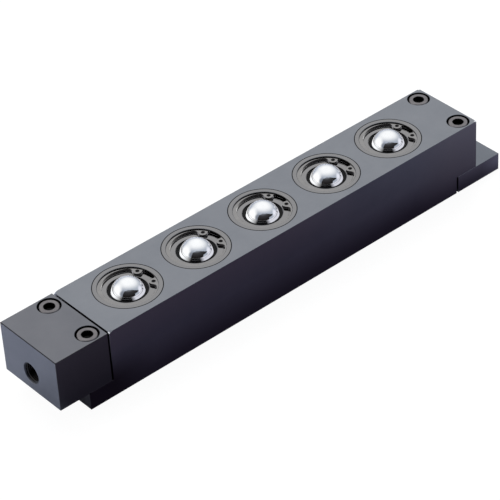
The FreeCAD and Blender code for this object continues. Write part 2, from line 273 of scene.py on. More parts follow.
    @staticmethod
    def grain() -> bpy.types.NodeTree:
        """Tool marks: fine noise drawn out by the stretch, with a coarser cloud that varies it."""
        tree, bench, given, result = Groups.start(
            "grain", {"Vector": "Vector", "Stretch": "Vector", "Cloud Scale": "Float"},
            {"Height": "Float", "Cloud": "Float"})
        drawn = bench.add("ShaderNodeVectorMath", {0: given.outputs["Vector"], 1: given.outputs["Stretch"]},
                          operation="MULTIPLY")
        marks = bench.add("ShaderNodeTexNoise", {"Vector": drawn.outputs[0], "Scale": 1.0, "Detail": 4.0,
                                                 "Roughness": 0.65})
        cloud = bench.add("ShaderNodeTexNoise", {"Vector": given.outputs["Vector"],
                                                 "Scale": given.outputs["Cloud Scale"], "Detail": 5.0,
                                                 "Roughness": 0.6})
        bench.feed(result.inputs["Height"], marks.outputs["Fac"])
        bench.feed(result.inputs["Cloud"], cloud.outputs["Fac"])
        return tree


@dataclass(frozen=True)
class Layout:
    """Where the repeated features stand along the rail, in metres."""

    first: float
    pitch: float
    last: float
    screw_middle: float
    screw_half_length: float
    screw_half_width: float
    port_height: float

    @classmethod
    def measured(cls) -> "Layout":
        """Read the places from the boxes of the solids."""
        def middle(node: str) -> np.ndarray:
            """Middle of a node's box."""
            return (np.array(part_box(node)[0]) + np.array(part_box(node)[1])) / 2
        units = [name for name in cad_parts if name.startswith("load_ball_")]
        left, right = middle("end_block_screws")[0], middle("end_foot_screws")[0]
        head_half = (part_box("end_block_screws")[1][0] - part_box("end_block_screws")[0][0]) / 2
        return cls(first=float(middle("load_ball_1")[0]),
                   pitch=float(middle("load_ball_2")[0] - middle("load_ball_1")[0]),
                   last=float(len(units) - 1),
                   screw_middle=float((left + right) / 2),
                   screw_half_length=float((right - left) / 2),
                   screw_half_width=float(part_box("end_block_screws")[1][1] - head_half),
                   port_height=PORT_HEIGHT)


@dataclass(frozen=True)
class Limit:
    """One edge of a zone: outside where the measure is at the first number, inside at the second."""

    measure: Measure
    outside: float
    inside: float


@dataclass(frozen=True)
class Zone:
    """Part of a finish that keeps another tone; the zones paint shade and light. It lies inside all of its limits.
    """

    tone: Colour
    limits: tuple[Limit, ...]


@dataclass(frozen=True)
class Finish:
    """A metal or moulded finish, as numbers for one material."""

    name: str
    colour: Colour
    pale: Colour
    metallic: float
    roughness: float
    roughness_spread: float
    lay: Lay
    stretch: tuple[float, float, float]
    cloud_scale: float
    bump: float
    wear: Colour = (0.5, 0.5, 0.5)
    wear_reach: float = 0.0
    edge_radius: float = 0.15 * MM
    specular: float = 0.5
    zones: tuple[Zone, ...] = ()
    # Facing values between which a painted glow shows in mirrored rays, or none.
    painted_glow_facing: tuple[float, float] | None = None

    def measured(self, bench: Bench, layout: Layout, measure: Measure) -> Socket:
        """Socket that gives one measure over the surface.

        Args:
            bench: the material's bench.
            layout: where the repeated features stand.
            measure: the measure that is asked for.

        Returns:
            The measure's socket.
        """
        if measure is Measure.FACING_UP:
            plain = bench.add("ShaderNodeNewGeometry").outputs["Normal"]
            return bench.add("ShaderNodeSeparateXYZ", {0: plain}).outputs["Z"]
        if measure is Measure.FROM_UNIT:
            return self.unit(bench, layout).outputs["Radius"]
        if measure is Measure.FROM_SCREW:
            screw = bench.add("ShaderNodeGroup", node_tree=bpy.data.node_groups["screw place"])
            bench.feed(screw.inputs["Middle"], layout.screw_middle)
            bench.feed(screw.inputs["Half Length"], layout.screw_half_length)
            bench.feed(screw.inputs["Half Width"], layout.screw_half_width)
            return screw.outputs["Radius"]
        split = bench.add("ShaderNodeSeparateXYZ", {0: bench.add("ShaderNodeTexCoord").outputs["Object"]})
        if measure is Measure.FROM_PORT:
            up = bench.sum("SUBTRACT", split.outputs["Z"], layout.port_height)
            level = bench.add("ShaderNodeCombineXYZ", {"X": split.outputs["Y"], "Y": up})
            radius = bench.add("ShaderNodeVectorMath", {0: level.outputs[0]}, operation="LENGTH")
            return radius.outputs["Value"]
        if measure is Measure.FROM_MIDDLE:
            return bench.sum("ABSOLUTE", split.outputs["Y"])
        return split.outputs[{Measure.ALONG: "X", Measure.ACROSS: "Y", Measure.UP: "Z"}[measure]]

    @staticmethod
    def unit(bench: Bench, layout: Layout) -> bpy.types.Node:
        """The group node that counts places from the nearest ball unit."""
        unit = bench.add("ShaderNodeGroup", node_tree=bpy.data.node_groups["unit place"])
        bench.feed(unit.inputs["First"], layout.first)
        bench.feed(unit.inputs["Pitch"], layout.pitch)
        bench.feed(unit.inputs["Last"], layout.last)
        return unit

    def toned(self, bench: Bench, layout: Layout, colour: Socket) -> Socket:
        """Lay the tone of each zone, its painted shade and light, over the colour.

        Args:
            bench: the material's bench.
            layout: where the repeated features stand.
            colour: the plain colour.

        Returns:
            The colour with its zones.
        """
        for zone in self.zones:
            mask = None
            for limit in zone.limits:
                value = self.measured(bench, layout, limit.measure)
                share = bench.ramp(value, limit.outside, limit.inside)
                mask = share if mask is None else bench.sum("MULTIPLY", mask, share)
            colour = bench.blend(mask, colour, zone.tone)
        return colour

    def paint_glow(self, bench: Bench, layout: Layout, shader: bpy.types.Node) -> None:
        """Add a painted glow, pale light painted into a recess round a ball. It shows in mirrored rays alone.

        It shows where the facing value of the surface runs from the first to the second of its two facing
        values. It is strongest beyond the ball on the far left, and none lies on the near side.

        Args:
            bench: the material's bench.
            layout: where the repeated features stand.
            shader: the Principled BSDF.
        """
        light = bench.add("ShaderNodeGroup", node_tree=bpy.data.node_groups["painted recess glow"])
        bench.feed(light.inputs["Vector"], self.unit(bench, layout).outputs["Vector"])
        facing = bench.add("ShaderNodeLayerWeight", {"Blend": 0.5}).outputs["Facing"]
        mirrored = bench.add("ShaderNodeLightPath").outputs["Is Glossy Ray"]
        bench.feed(shader.inputs["Emission Color"], light.outputs["Color"])
        bench.feed(shader.inputs["Emission Strength"],
                   bench.sum("MULTIPLY", mirrored, bench.ramp(facing, *self.painted_glow_facing)))

    def material(self, layout: Layout) -> bpy.types.Material:
        """Build the material.

        Args:
            layout: where the repeated features stand.

        Returns:
            A new material with one Principled BSDF.
        """
        made = bpy.data.materials.new(self.name)
        made.use_nodes = True
        bench = Bench(made.node_tree)
        shader = made.node_tree.nodes["Principled BSDF"]
        vector = bench.add("ShaderNodeTexCoord").outputs["Object"]
        if self.lay is Lay.ROUND:
            unit = self.unit(bench, layout)
            height = bench.add("ShaderNodeSeparateXYZ", {0: unit.outputs["Vector"]}).outputs["Z"]
            turned = bench.add("ShaderNodeCombineXYZ", {"X": unit.outputs["Radius"], "Y": 0.0, "Z": height})
            vector = turned.outputs[0]
        grain = bench.add("ShaderNodeGroup", node_tree=bpy.data.node_groups["grain"])
        bench.feed(grain.inputs["Vector"], vector)
        bench.feed(grain.inputs["Stretch"], self.stretch)
        bench.feed(grain.inputs["Cloud Scale"], self.cloud_scale)
        colour = bench.blend(bench.ramp(grain.outputs["Cloud"], *CLOUD_RANGE), self.colour, self.pale)
        wear = bench.add("ShaderNodeGroup", node_tree=bpy.data.node_groups["edge wear"])
        bench.feed(wear.inputs["Radius"], self.edge_radius)
        bench.feed(wear.inputs["Reach"], self.wear_reach)
        bench.feed(wear.inputs["Breakup"], WEAR_BREAKUP)
        colour = bench.blend(wear.outputs["Mask"], colour, self.wear)
        colour = self.toned(bench, layout, colour)
        spread = bench.sum("MULTIPLY_ADD", grain.outputs["Height"], self.roughness_spread,
                           self.roughness - self.roughness_spread / 2)
        bump = bench.add("ShaderNodeBump", {"Strength": 1.0, "Distance": self.bump,
                                            "Height": grain.outputs["Height"],
                                            "Normal": wear.outputs["Normal"]})
        bench.feed(shader.inputs["Base Color"], colour)
        bench.feed(shader.inputs["Roughness"], spread)
        bench.feed(shader.inputs["Normal"], bump.outputs[0])
        shader.inputs["Metallic"].default_value = self.metallic
        shader.inputs["Specular IOR Level"].default_value = self.specular
        if self.painted_glow_facing:
            self.paint_glow(bench, layout, shader)
            made.cycles.emission_sampling = "NONE"
        return made


# How finely tool marks vary along each axis of their lay, in turns per metre.
ALONG_STRETCH = (60.0, 2600.0, 2600.0)
ROUND_STRETCH = (5200.0, 1.0, 900.0)
EVEN_STRETCH = (1500.0, 1500.0, 1500.0)

# Heights of the top face and of the step under the block, then the ends and the long side at negative Y.
TOP = 36.7 * MM
LAP = 9.4 * MM
BLOCK_FACE = -137.8 * MM
BLOCK_SEAM = -108.6 * MM
BAR_SEAM = -107.65 * MM
BAR_FACE = 121.9 * MM
NEAR_SIDE = -20.0 * MM

# Limits that several zones share.
UPRIGHT = Limit(Measure.FACING_UP, 0.60, 0.40)
LEVEL = Limit(Measure.FACING_UP, 0.45, 0.60)
NEAR_FACE = Limit(Measure.ACROSS, NEAR_SIDE + 0.15 * MM, NEAR_SIDE + 0.10 * MM)
CORNERS = Limit(Measure.FROM_MIDDLE, 18.9 * MM, 19.3 * MM)

# Tones that several zones share: painted shade for gaps, joints, the lap and shaded rims, and a painted highlight
# for corners.
GAP_SHADE = (0.012, 0.012, 0.014)
CORNER_HIGHLIGHT = (0.95, 0.95, 0.97)
JOINT_SHADE = (0.030, 0.030, 0.034)
SHADED_RIM = (0.030, 0.029, 0.030)
LAP_SHADE = (0.040, 0.034, 0.044)

# Zones of the bar and the block: painted shade in the gaps, the lap, the port and along the block's top end edge,
# sides painted darker downwards and lighter in places, and painted highlights on corners.
# Painted shade in gaps: on the pocket rims round the screw heads, in the joint round each sleeve and on the bar's
# end face in the seam.
POCKET_RIM = Zone(GAP_SHADE, (Limit(Measure.FROM_SCREW, 5.68 * MM, 5.60 * MM),))
SLEEVE_JOINT = Zone(JOINT_SHADE, (Limit(Measure.FROM_UNIT, 16.50 * MM, 16.44 * MM),
                                 Limit(Measure.UP, TOP - 0.30 * MM, TOP - 0.25 * MM)))
BAR_END = Zone(GAP_SHADE, (Limit(Measure.ALONG, BAR_SEAM + 0.07 * MM, BAR_SEAM + 0.03 * MM),
                       Limit(Measure.UP, LAP, LAP + 0.05 * MM)))
# Painted shade and light on the bar's upright sides: darker downwards, lighter high up towards the block and
# lighter towards the foot.
SIDE_LOWER = Zone((0.085, 0.080, 0.100), (UPRIGHT, Limit(Measure.UP, 19.0 * MM, 3.0 * MM)))
SIDE_UPPER = Zone((0.300, 0.295, 0.315), (UPRIGHT, Limit(Measure.UP, 20.0 * MM, 34.0 * MM),
                                          Limit(Measure.ALONG, 45.0 * MM, 10.0 * MM)))
SIDE_FAR = Zone((0.262, 0.258, 0.275), (UPRIGHT, Limit(Measure.UP, -4.0 * MM, 14.0 * MM),
                                        Limit(Measure.ALONG, 80.0 * MM, 104.0 * MM)))
# Painted shade low on the sides and on the edge next to the seam, under the block.
LAP_SIDE = Zone(LAP_SHADE, (UPRIGHT, Limit(Measure.UP, 24.0 * MM, 9.0 * MM),
                           Limit(Measure.ALONG, -84.0 * MM, -107.0 * MM)))
LAP_EDGE = Zone(LAP_SHADE, (Limit(Measure.ALONG, BAR_SEAM + 0.35 * MM, BAR_SEAM + 0.15 * MM),
                           Limit(Measure.UP, LAP + 0.8 * MM, LAP + 0.4 * MM)))
# Painted highlights on the top corners beside the seam and at the bar's far end, where light catches their
# chamfers.
SEAM_CORNERS = Zone(CORNER_HIGHLIGHT, (Limit(Measure.ALONG, BAR_SEAM + 0.75 * MM, BAR_SEAM + 0.35 * MM), CORNERS,
                                 Limit(Measure.UP, TOP - 1.2 * MM, TOP - 0.9 * MM), LEVEL))
END_CORNERS = Zone(CORNER_HIGHLIGHT, (Limit(Measure.ALONG, BAR_FACE - 1.2 * MM, BAR_FACE - 0.8 * MM), CORNERS,
                                Limit(Measure.UP, TOP - 0.6 * MM, TOP - 0.3 * MM), LEVEL))
# The block's near side in painted shade, painted lighter towards its top.
BLOCK_SIDE = Zone((0.088, 0.091, 0.096), (NEAR_FACE,))
BLOCK_SIDE_UPPER = Zone((0.190, 0.192, 0.190), (NEAR_FACE, Limit(Measure.UP, 12.0 * MM, 36.0 * MM)))
# Painted shade on the block's end face in the seam, and along its top end edge in place of the bright reflection of
# its chamfer.
BLOCK_END = Zone(GAP_SHADE, (Limit(Measure.ALONG, BLOCK_SEAM - 0.06 * MM, BLOCK_SEAM - 0.02 * MM),))
BLOCK_EDGE_SHADE = Zone((0.035, 0.035, 0.040), (Limit(Measure.ALONG, BLOCK_FACE + 0.45 * MM, BLOCK_FACE + 0.30 * MM),
                                            Limit(Measure.UP, TOP - 0.45 * MM, TOP - 0.30 * MM)))
# Painted shade in the air port's mouth and deeper in its bore.
PORT_MOUTH = Zone((0.045, 0.047, 0.055), (Limit(Measure.FROM_PORT, 5.50 * MM, 5.40 * MM),
                                          Limit(Measure.ALONG, BLOCK_FACE + 0.04 * MM, BLOCK_FACE + 0.12 * MM)))
PORT_BORE = Zone((0.008, 0.008, 0.008), (Limit(Measure.FROM_PORT, 5.00 * MM, 4.90 * MM),
                                         Limit(Measure.ALONG, BLOCK_FACE + 0.3 * MM, BLOCK_FACE + 0.8 * MM)))

# Zones of the foot: painted shade and light on its upright sides, which darken downwards and lighten towards the
# foot's far end.
FOOT_SIDE = Zone((0.125, 0.125, 0.145), (UPRIGHT,))
FOOT_SIDE_UPPER = Zone((0.240, 0.240, 0.268), (UPRIGHT, Limit(Measure.UP, 2.5 * MM, 8.5 * MM)))
FOOT_SIDE_FAR = Zone((0.360, 0.375, 0.410), (UPRIGHT, Limit(Measure.UP, -2.0 * MM, 6.0 * MM),
                                             Limit(Measure.ALONG, 126.0 * MM, 137.0 * MM)))

# Zones of the ball units and the screws, all painted shade: on the sleeve's bore and rim, the cap's mouth,
# the snap ring's side walls, the sockets and the rims of the screw heads.
SLEEVE_BORE = Zone((0.010, 0.009, 0.009), (Limit(Measure.FROM_UNIT, 14.95 * MM, 14.85 * MM),
                                           Limit(Measure.UP, TOP - 0.18 * MM, TOP - 0.24 * MM)))
SLEEVE_RIM = Zone(JOINT_SHADE, (Limit(Measure.FROM_UNIT, 16.00 * MM, 16.04 * MM),))
PISTON_MOUTH = Zone(SHADED_RIM, (Limit(Measure.FROM_UNIT, 9.75 * MM, 9.68 * MM),))
# Painted shade on the snap ring's side walls.
RING_WALL_SHADE = Zone((0.015, 0.014, 0.014), (Limit(Measure.FACING_UP, 0.75, 0.45),))
SOCKET = Zone((0.010, 0.010, 0.010), (Limit(Measure.FROM_SCREW, 3.00 * MM, 2.95 * MM),
                                      Limit(Measure.UP, TOP - 0.32 * MM, TOP - 0.40 * MM)))
HEAD_RIM = Zone(SHADED_RIM, (Limit(Measure.FROM_SCREW, 4.86 * MM, 4.92 * MM),))

# Facing values between which a painted glow shows in mirrored rays: on the walls, the cap's mouth and the
# retainer's lip.
WALL_GLOW_FACING = (0.18, 0.11)
MOUTH_GLOW_FACING = (0.62, 0.45)
LIP_GLOW_FACING = (0.42, 0.52)

BAR_STEEL = Finish(
    name="blackened_bar_steel", colour=(0.204, 0.217, 0.245), pale=(0.230, 0.242, 0.270), metallic=1.0,
    roughness=0.34, roughness_spread=0.08, lay=Lay.ALONG, stretch=ALONG_STRETCH, cloud_scale=55.0,
    bump=0.0012 * MM, wear=(0.30, 0.31, 0.34), wear_reach=0.5,
    zones=(SLEEVE_JOINT, BAR_END, SIDE_LOWER, SIDE_UPPER, SIDE_FAR, LAP_SIDE, LAP_EDGE, SEAM_CORNERS,
           END_CORNERS, POCKET_RIM))
FOOT_STEEL = Finish(
    name="blackened_foot_steel", colour=(0.150, 0.164, 0.190), pale=(0.167, 0.182, 0.211), metallic=1.0,
    roughness=0.35, roughness_spread=0.08, lay=Lay.ALONG, stretch=ALONG_STRETCH, cloud_scale=60.0,
    bump=0.0012 * MM, wear=(0.26, 0.27, 0.30), wear_reach=0.5,
    zones=(FOOT_SIDE, FOOT_SIDE_UPPER, FOOT_SIDE_FAR))
BLOCK_STEEL = Finish(
    name="blackened_block_steel", colour=(0.158, 0.163, 0.184), pale=(0.176, 0.180, 0.201), metallic=1.0,
    roughness=0.36, roughness_spread=0.08, lay=Lay.ALONG, stretch=ALONG_STRETCH, cloud_scale=70.0,
    bump=0.0012 * MM, wear=(0.24, 0.25, 0.27), wear_reach=0.5,
    zones=(BLOCK_SIDE, BLOCK_SIDE_UPPER, BLOCK_END, BLOCK_EDGE_SHADE, PORT_MOUTH, PORT_BORE, POCKET_RIM))
# The port thread's near-black colour is painted shade inside the port.
THREAD_STEEL = Finish(
    name="port_thread_steel", colour=(0.020, 0.019, 0.019), pale=(0.030, 0.028, 0.028), metallic=1.0,
    roughness=0.26, roughness_spread=0.10, lay=Lay.CLOUDY, stretch=EVEN_STRETCH, cloud_scale=300.0,
    bump=0.0020 * MM)
TURNED_STEEL = Finish(
    name="turned_sleeve_steel", colour=(0.212, 0.212, 0.220), pale=(0.240, 0.238, 0.244), metallic=1.0,
    roughness=0.20, roughness_spread=0.03, lay=Lay.ROUND, stretch=ROUND_STRETCH, cloud_scale=90.0,
    bump=0.0014 * MM, wear=(0.34, 0.33, 0.32), wear_reach=0.4,
    zones=(SLEEVE_BORE, SLEEVE_RIM), painted_glow_facing=WALL_GLOW_FACING)
PISTON_STEEL = Finish(
    name="turned_piston_steel", colour=(0.225, 0.223, 0.229), pale=(0.255, 0.252, 0.257), metallic=1.0,
    roughness=0.08, roughness_spread=0.01, lay=Lay.ROUND, stretch=ROUND_STRETCH, cloud_scale=90.0,
    bump=0.0003 * MM, wear=(0.34, 0.33, 0.32), wear_reach=0.4,
    zones=(PISTON_MOUTH,), painted_glow_facing=MOUTH_GLOW_FACING)
# The snap ring's pale edge wear is partly wear and partly a painted highlight on its edges; it also takes painted
# shade on its walls and a painted glow.
SPRING_STEEL = Finish(
    name="snap_ring_steel", colour=(0.225, 0.222, 0.225), pale=(0.262, 0.258, 0.259), metallic=1.0,
    roughness=0.09, roughness_spread=0.01, lay=Lay.CLOUDY, stretch=EVEN_STRETCH, cloud_scale=220.0,
    bump=0.0004 * MM, wear=(0.45, 0.44, 0.43), wear_reach=0.9,
    zones=(RING_WALL_SHADE,), painted_glow_facing=WALL_GLOW_FACING)
BALL_STEEL = Finish(
    name="polished_ball_steel", colour=(0.80, 0.815, 0.84), pale=(0.86, 0.87, 0.89), metallic=1.0,
    roughness=0.07, roughness_spread=0.03, lay=Lay.CLOUDY, stretch=EVEN_STRETCH, cloud_scale=260.0,
    bump=0.0001 * MM)
# The retainer's lip takes a painted glow at grazing angles in mirrored rays.
RETAINER_PLASTIC = Finish(
    name="retainer_plastic", colour=(0.004, 0.004, 0.005), pale=(0.008, 0.008, 0.008), metallic=0.0,
    roughness=0.55, roughness_spread=0.2, lay=Lay.CLOUDY, stretch=EVEN_STRETCH, cloud_scale=400.0,
    bump=0.0040 * MM, specular=0.10, painted_glow_facing=LIP_GLOW_FACING)
SEAL_RUBBER = Finish(
    name="seal_rubber", colour=(0.012, 0.012, 0.012), pale=(0.02, 0.02, 0.02), metallic=0.0,
    roughness=0.7, roughness_spread=0.1, lay=Lay.CLOUDY, stretch=EVEN_STRETCH, cloud_scale=300.0,
    bump=0.0030 * MM)
SCREW_STEEL = Finish(
    name="screw_head_steel", colour=(0.160, 0.152, 0.160), pale=(0.205, 0.196, 0.204), metallic=1.0,
    roughness=0.34, roughness_spread=0.14, lay=Lay.CLOUDY, stretch=EVEN_STRETCH, cloud_scale=300.0,
    bump=0.0030 * MM, wear=(0.34, 0.33, 0.33), wear_reach=0.7, zones=(SOCKET, HEAD_RIM))
PLUG_STEEL = Finish(
    name="gallery_plug_steel", colour=(0.150, 0.148, 0.150), pale=(0.190, 0.186, 0.186), metallic=1.0,
    roughness=0.36, roughness_spread=0.12, lay=Lay.CLOUDY, stretch=EVEN_STRETCH, cloud_scale=260.0,
    bump=0.0030 * MM, wear=(0.30, 0.30, 0.30), wear_reach=0.6)


def put_mesh(name: str, points: np.ndarray, faces: np.ndarray) -> bpy.types.Object:
    """Make an object at the origin from arrays.

    Args:
        name: the piece's name.
        points: vertices in metres, one row each.
        faces: vertex numbers, one quad or triangle a row.

    Returns:
        The new object, linked to the scene.
    """
    mesh = bpy.data.meshes.new(name)
    mesh.from_pydata(points.tolist(), [], faces.tolist())
    mesh.validate()
    mesh.update()
    piece = bpy.data.objects.new(name, mesh)
    bpy.context.scene.collection.objects.link(piece)
    return piece


def grid_faces(rows: int, columns: int, close_rows: bool, close_columns: bool) -> np.ndarray:
    """Quads of a grid of points, row after row.

    Args:
        rows: points along the first parameter.
        columns: points along the second parameter.
        close_rows: join the last row to the first.
        close_columns: join the last column to the first.

    Returns:
        One row of four vertex numbers for each quad.
    """
    row = np.arange(rows if close_rows else rows - 1)
    column = np.arange(columns if close_columns else columns - 1)
    r, c = np.meshgrid(row, column, indexing="ij")
    r, c = r.ravel(), c.ravel()
    next_r, next_c = (r + 1) % rows, (c + 1) % columns
    return np.stack([r * columns + c, r * columns + next_c, next_r * columns + next_c, next_r * columns + c], 1)


def dress(node: str, material: bpy.types.Material) -> None:
    """Give a node of the solids its material in every slot.

    Args:
        node: the node's name.
        material: the finish that it shows.
    """
    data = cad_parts[node].data
    if not data.materials:
        data.materials.append(material)
    for slot in range(len(data.materials)):
        data.materials[slot] = material


@dataclass
class RailFrame:
    """The bar, the end block and the foot."""

    nodes: dict[str, str] = field(default_factory=lambda: {
        "rail_body": "bar",
        "end_foot": "foot",
        "end_block": "block",
        "lap_seal": "rubber",
        "gallery_plug": "plug",
    })

    def dress(self, materials: dict[str, bpy.types.Material]) -> None:
        """Give the steel pieces their ground and blackened finishes, and the seal and plug theirs.

        Args:
            materials: the finished materials by short name.
        """
        for node, finish in self.nodes.items():
            dress(node, materials[finish])
            log.info("dressed %s", node)


@dataclass
class AirPort:
    """The threaded air port in the end block's end face."""

    crest: float = 4.283 * MM
    root: float = 4.850 * MM
    mouth: float = 5.5 * MM
    skin: float = 0.02 * MM
    pitch: float = 0.907 * MM
    start: float = 0.2 * MM
    length: float = 8.4 * MM
    fill: float = 0.98
    bluntness: float = 1.2
    steps_round: int = 72
    steps_over: int = 7

    def build(self, layout: Layout, material: bpy.types.Material) -> bpy.types.Object:
        """Make the thread ridge as one helical band.

        The ridge's section is a rounded vee swept on a helix: the place along the port is
        start + pitch * turns, and the radius goes from root to crest and back over nearly one pitch, as
        the sine of half a turn raised to the bluntness.
        Near the face the radius is never less than the mouth cone's, which loses a millimetre of radius
        for each millimetre of depth, so the ridge runs out under the cone.

        Args:
            layout: where the port's axis lies.
            material: the steel of the thread.

        Returns:
            The thread piece.
        """
        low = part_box("end_block")[0]
        turns = self.length / self.pitch
        around = np.linspace(0.0, 2 * np.pi * turns, int(self.steps_round * turns) + 1)
        share = np.linspace(0.0, 1.0, self.steps_over)
        a, s = np.meshgrid(around, share, indexing="ij")
        depth = self.start + self.pitch * (a / (2 * np.pi) + s * self.fill)
        ridge = self.root - (self.root - self.crest) * np.sin(np.pi * s) ** self.bluntness
        radius = np.maximum(ridge, self.mouth - depth + self.skin)
        points = np.stack([low[0] + depth, radius * np.cos(a), layout.port_height + radius * np.sin(a)], -1)
        piece = put_mesh("port_thread", points.reshape(-1, 3), grid_faces(len(around), len(share), False, False))
        piece.data.materials.append(material)
        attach(piece, "rail")
        log.info("port thread: %d turns", int(turns))
        return piece


@dataclass
class ScrewHeads:
    """The four socket head screws."""

    groups: tuple[str, ...] = ("end_block_screws", "end_foot_screws")

    def dress(self, material: bpy.types.Material) -> None:
        """Give both pairs of screws their finish.

        Args:
            material: the screw steel.
        """
        for group in self.groups:
            dress(group, material)
        log.info("dressed %d pairs of screws", len(self.groups))


@dataclass
class BallUnits:
    """The row of ball units: sleeves, snap rings, pistons, retainers and balls."""

    count: int
    finishes: dict[str, str] = field(default_factory=lambda: {
        "cylinder_sleeve": "turned",
        "piston_cup": "piston",
        "piston_cap": "piston",
        "retaining_ring": "spring",
        "ball_retainer": "plastic",
        "load_ball": "ball",
        "support_balls": "ball",
        "sleeve_seal": "rubber",
        "piston_seal": "rubber",
    })

    def dress(self, materials: dict[str, bpy.types.Material]) -> None:
        """Give every node of every unit its finish.

        Args:
            materials: the finished materials by short name.
        """
        for number in range(1, self.count + 1):
            for node, finish in self.finishes.items():
                dress(f"{node}_{number}", materials[finish])
            log.info("dressed ball unit %d", number)


@dataclass(frozen=True)
class Glow:
    """One soft bright patch of the dome: where it is, how wide and how bright."""

    around: float
    up: float
    rim: float
    core: float
    colour: Colour

    def toward(self) -> Colour:
        """Unit direction of the patch's middle, from its two angles in degrees."""
        around, up = math.radians(self.around), math.radians(self.up)
        return (math.cos(up) * math.cos(around), math.cos(up) * math.sin(around), math.sin(up))


@dataclass
class Studio:
    """Camera, lamps, world, floor and cards."""

    camera_place: Colour = (-0.589761, -0.714069, 0.725948)
    camera_right: Colour = (0.750518, -0.659058, -0.048629)
    camera_up: Colour = (0.431768, 0.433315, 0.791084)
    lens: float = 178.01
    sensor: float = 36.0
    ground_tone: Colour = (0.46, 0.50, 0.57)
    glows: tuple[Glow, ...] = (Glow(48.0, 60.0, 0.38, 0.98, (1.16, 1.16, 1.15)),
                               Glow(140.0, 12.0, 0.62, 0.95, (1.24, 1.23, 1.20)),
                               Glow(-28.0, 5.0, 0.90, 0.99, (0.93, 0.94, 1.02)),
                               Glow(-165.0, 25.0, 0.88, 0.985, (0.25, 0.27, 0.31)))
    fill_tone: Colour = (0.9, 0.93, 1.0)
    fill_strength: float = 0.25
    floor_height: float = -0.02 * MM
    floor_half: float = 6.0
    floor_white: float = 0.14
    floor_white_mirrored: float = 0.66
    floor_glow: float = 0.94
    floor_glow_mirrored: float = 0.06
    floor_tint: Colour = (0.93, 0.99, 1.15)
    card_height: float = 0.10 * MM
    card_near: float = -20.1 * MM
    card_far: float = -600.0 * MM
    card_dark: Colour = (0.085, 0.072, 0.115)
    card_light: Colour = (0.40, 0.40, 0.52)
    card_pale: Colour = (0.92, 0.93, 1.0)
    screen_start: float = -167.0
    screen_sweep: float = 122.0
    screen_steps: int = 41

    def camera(self) -> None:
        """Stand the camera where the photograph was taken from."""
        data = bpy.data.cameras.new("camera")
        data.lens = self.lens
        data.sensor_width = self.sensor
        data.clip_end = 20.0
        right, up = Vector(self.camera_right), Vector(self.camera_up)
        back = right.cross(up)
        turn = Matrix((right, up, back)).transposed().to_4x4()
        holder = bpy.data.objects.new("camera", data)
        holder.matrix_world = Matrix.Translation(Vector(self.camera_place)) @ turn
        bpy.context.scene.collection.objects.link(holder)
        bpy.context.scene.camera = holder

    def lamp(self, name: str, place: Colour, aim: Colour, size: tuple[float, float], power: float) -> None:
        """Add one soft rectangular lamp.

        Args:
            name: the lamp's name.
            place: where it stands, in metres.
            aim: the point it looks at.
            size: its width and height.
            power: its power in watts.
        """
        data = bpy.data.lights.new(name, "AREA")
        data.shape = "RECTANGLE"
        data.size, data.size_y = size
        data.energy = power
        lamp = bpy.data.objects.new(name, data)
        lamp.visible_glossy = False
        lamp.location = place
        lamp.rotation_euler = (Vector(aim) - Vector(place)).to_track_quat("-Z", "Y").to_euler()
        bpy.context.scene.collection.objects.link(lamp)

    def lamps(self) -> None:
        """A broad lamp overhead and behind, and a weaker one past the block's end."""
        self.lamp("overhead", place=(0.35, 0.55, 1.15), aim=(0.0, 0.0, 0.0), size=(1.3, 1.0), power=13.0)
        self.lamp("end", place=(-1.1, 0.45, 0.55), aim=(0.0, 0.0, 0.02), size=(0.7, 0.7), power=4.0)

    def world(self) -> None:
        """White for the camera, a pale dome in reflections, dim as fill light.

        The dome is one ground tone with soft patches laid over it. Each patch is the cosine between a ray
        and its middle, stretched between its rim and its core and eased at both.
        """
        world = bpy.data.worlds.new("studio")
        world.use_nodes = True
        bench = Bench(world.node_tree)
        output = world.node_tree.nodes["World Output"]
        ray = bench.add("ShaderNodeLightPath")
        toward = bench.add("ShaderNodeTexCoord").outputs["Generated"]
        dome = self.ground_tone
        for glow in self.glows:
            near = bench.add("ShaderNodeVectorMath", {0: toward, 1: glow.toward()}, operation="DOT_PRODUCT")
            share = bench.add("ShaderNodeMapRange", {"Value": near.outputs["Value"], "From Min": glow.rim,
                                                     "From Max": glow.core}, interpolation_type="SMOOTHSTEP")
            dome = bench.blend(share.outputs[0], dome, glow.colour)
        white = bench.add("ShaderNodeBackground", {"Color": (1, 1, 1, 1), "Strength": 1.0})
        pale = bench.add("ShaderNodeBackground", {"Color": dome, "Strength": 1.0})
        fill = bench.add("ShaderNodeBackground", {"Color": solid(self.fill_tone), "Strength": self.fill_strength})
        mirrored = bench.sum("MAXIMUM", ray.outputs["Is Glossy Ray"], ray.outputs["Is Transmission Ray"])
        lower = bench.add("ShaderNodeMixShader", {0: mirrored, 1: fill.outputs[0], 2: pale.outputs[0]})
        both = bench.add("ShaderNodeMixShader", {0: ray.outputs["Is Camera Ray"], 1: lower.outputs[0],
                                                 2: white.outputs[0]})
        bench.feed(output.inputs["Surface"], both.outputs[0])
        bpy.context.scene.world = world

    def flat(self, name: str, corners: list[Colour]) -> bpy.types.Object:
        """One flat four-cornered sheet.

        Args:
            name: the sheet's name.
            corners: its corners in order.

        Returns:
            The sheet.
        """
        sheet = put_mesh(name, np.array(corners, float), np.array([[0, 1, 2, 3]]))
        return sheet

